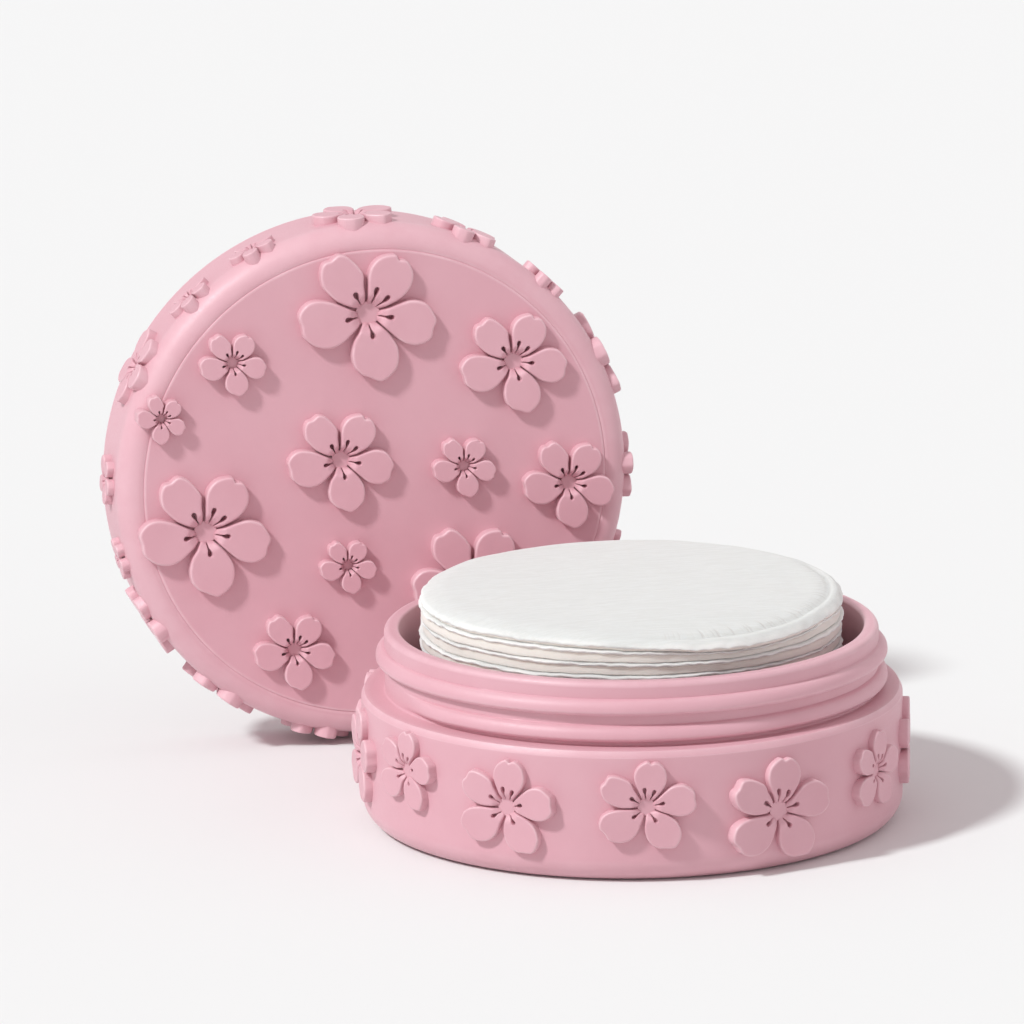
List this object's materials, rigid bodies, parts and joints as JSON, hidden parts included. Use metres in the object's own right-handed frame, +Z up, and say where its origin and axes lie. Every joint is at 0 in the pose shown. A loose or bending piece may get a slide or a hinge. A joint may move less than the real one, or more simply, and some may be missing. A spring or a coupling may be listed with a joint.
{
  "type": "screw-top cotton pad jar",
  "caption": "Low round screw-top jar holding a stack of cotton pads, with its lid standing on edge behind it and raised blossoms on its walls.",
  "frame": {"origin": "centre of the jar's flat underside", "axes": "+Z up along the jar's axis; -Y towards the front, where the lid's blossomed face looks; +X to the right"},
  "size_m": [0.1018, 0.0967, 0.0766],
  "materials": {
    "pink_plastic": "fine matt",
    "white_cotton": "soft pressed fibre"
  },
  "bodies": {
    "jar": {"jar_body": "pink_plastic", "jar_blossom_01": "pink_plastic", "jar_blossom_02": "pink_plastic", "jar_blossom_03": "pink_plastic", "jar_blossom_04": "pink_plastic", "jar_blossom_05": "pink_plastic", "jar_blossom_06": "pink_plastic", "jar_blossom_07": "pink_plastic", "jar_blossom_08": "pink_plastic", "jar_blossom_09": "pink_plastic", "jar_blossom_10": "pink_plastic", "jar_blossom_11": "pink_plastic", "jar_blossom_12": "pink_plastic", "jar_blossom_13": "pink_plastic"},
    "lid": {"lid_shell": "pink_plastic", "lid_face_blossom_01": "pink_plastic", "lid_face_blossom_02": "pink_plastic", "lid_face_blossom_03": "pink_plastic", "lid_face_blossom_04": "pink_plastic", "lid_face_blossom_05": "pink_plastic", "lid_face_blossom_06": "pink_plastic", "lid_face_blossom_07": "pink_plastic", "lid_face_blossom_08": "pink_plastic", "lid_face_blossom_09": "pink_plastic", "lid_face_blossom_10": "pink_plastic", "lid_face_blossom_11": "pink_plastic", "lid_side_blossom_01": "pink_plastic", "lid_side_blossom_02": "pink_plastic", "lid_side_blossom_03": "pink_plastic", "lid_side_blossom_04": "pink_plastic", "lid_side_blossom_05": "pink_plastic", "lid_side_blossom_06": "pink_plastic", "lid_side_blossom_07": "pink_plastic", "lid_side_blossom_08": "pink_plastic", "lid_side_blossom_09": "pink_plastic", "lid_side_blossom_10": "pink_plastic", "lid_side_blossom_11": "pink_plastic", "lid_side_blossom_12": "pink_plastic", "lid_side_blossom_13": "pink_plastic", "lid_side_blossom_14": "pink_plastic", "lid_side_blossom_15": "pink_plastic", "lid_side_blossom_16": "pink_plastic", "lid_side_blossom_17": "pink_plastic"},
    "pad_01": {"cotton_pad_01": "white_cotton"},
    "pad_02": {"cotton_pad_02": "white_cotton"},
    "pad_03": {"cotton_pad_03": "white_cotton"},
    "pad_04": {"cotton_pad_04": "white_cotton"},
    "pad_05": {"cotton_pad_05": "white_cotton"},
    "pad_06": {"cotton_pad_06": "white_cotton"},
    "pad_07": {"cotton_pad_07": "white_cotton"},
    "pad_08": {"cotton_pad_08": "white_cotton"},
    "pad_09": {"cotton_pad_09": "white_cotton"},
    "pad_10": {"cotton_pad_10": "white_cotton"},
    "pad_11": {"cotton_pad_11": "white_cotton"},
    "pad_12": {"cotton_pad_12": "white_cotton"},
    "pad_13": {"cotton_pad_13": "white_cotton"},
    "pad_14": {"cotton_pad_14": "white_cotton"},
    "pad_15": {"cotton_pad_15": "white_cotton"},
    "pad_16": {"cotton_pad_16": "white_cotton"}
  },
  "joints": [
    {"name": "lid_lift", "type": "slide", "parent": "jar", "child": "lid", "axis": [0, 0, 1], "range_m": [0, 0.12]},
    {"name": "pad_01_lift", "type": "slide", "parent": "jar", "child": "pad_01", "axis": [0, 0, 1], "range_m": [0, 0.0258]},
    {"name": "pad_02_lift", "type": "slide", "parent": "pad_01", "child": "pad_02", "axis": [0, 0, 1], "range_m": [0, 0.024]},
    {"name": "pad_03_lift", "type": "slide", "parent": "pad_02", "child": "pad_03", "axis": [0, 0, 1], "range_m": [0, 0.0222]},
    {"name": "pad_04_lift", "type": "slide", "parent": "pad_03", "child": "pad_04", "axis": [0, 0, 1], "range_m": [0, 0.0204]},
    {"name": "pad_05_lift", "type": "slide", "parent": "pad_04", "child": "pad_05", "axis": [0, 0, 1], "range_m": [0, 0.0186]},
    {"name": "pad_06_lift", "type": "slide", "parent": "pad_05", "child": "pad_06", "axis": [0, 0, 1], "range_m": [0, 0.0168]},
    {"name": "pad_07_lift", "type": "slide", "parent": "pad_06", "child": "pad_07", "axis": [0, 0, 1], "range_m": [0, 0.0149]},
    {"name": "pad_08_lift", "type": "slide", "parent": "pad_07", "child": "pad_08", "axis": [0, 0, 1], "range_m": [0, 0.0131]},
    {"name": "pad_09_lift", "type": "slide", "parent": "pad_08", "child": "pad_09", "axis": [0, 0, 1], "range_m": [0, 0.0113]},
    {"name": "pad_10_lift", "type": "slide", "parent": "pad_09", "child": "pad_10", "axis": [0, 0, 1], "range_m": [0, 0.01]},
    {"name": "pad_11_lift", "type": "slide", "parent": "pad_10", "child": "pad_11", "axis": [0, 0, 1], "range_m": [0, 0.01]},
    {"name": "pad_12_lift", "type": "slide", "parent": "pad_11", "child": "pad_12", "axis": [0, 0, 1], "range_m": [0, 0.01]},
    {"name": "pad_13_lift", "type": "slide", "parent": "pad_12", "child": "pad_13", "axis": [0, 0, 1], "range_m": [0, 0.01]},
    {"name": "pad_14_lift", "type": "slide", "parent": "pad_13", "child": "pad_14", "axis": [0, 0, 1], "range_m": [0, 0.01]},
    {"name": "pad_15_lift", "type": "slide", "parent": "pad_14", "child": "pad_15", "axis": [0, 0, 1], "range_m": [0, 0.01]},
    {"name": "pad_16_lift", "type": "slide", "parent": "pad_15", "child": "pad_16", "axis": [0, 0, 1], "range_m": [0, 0.01]}
  ]
}
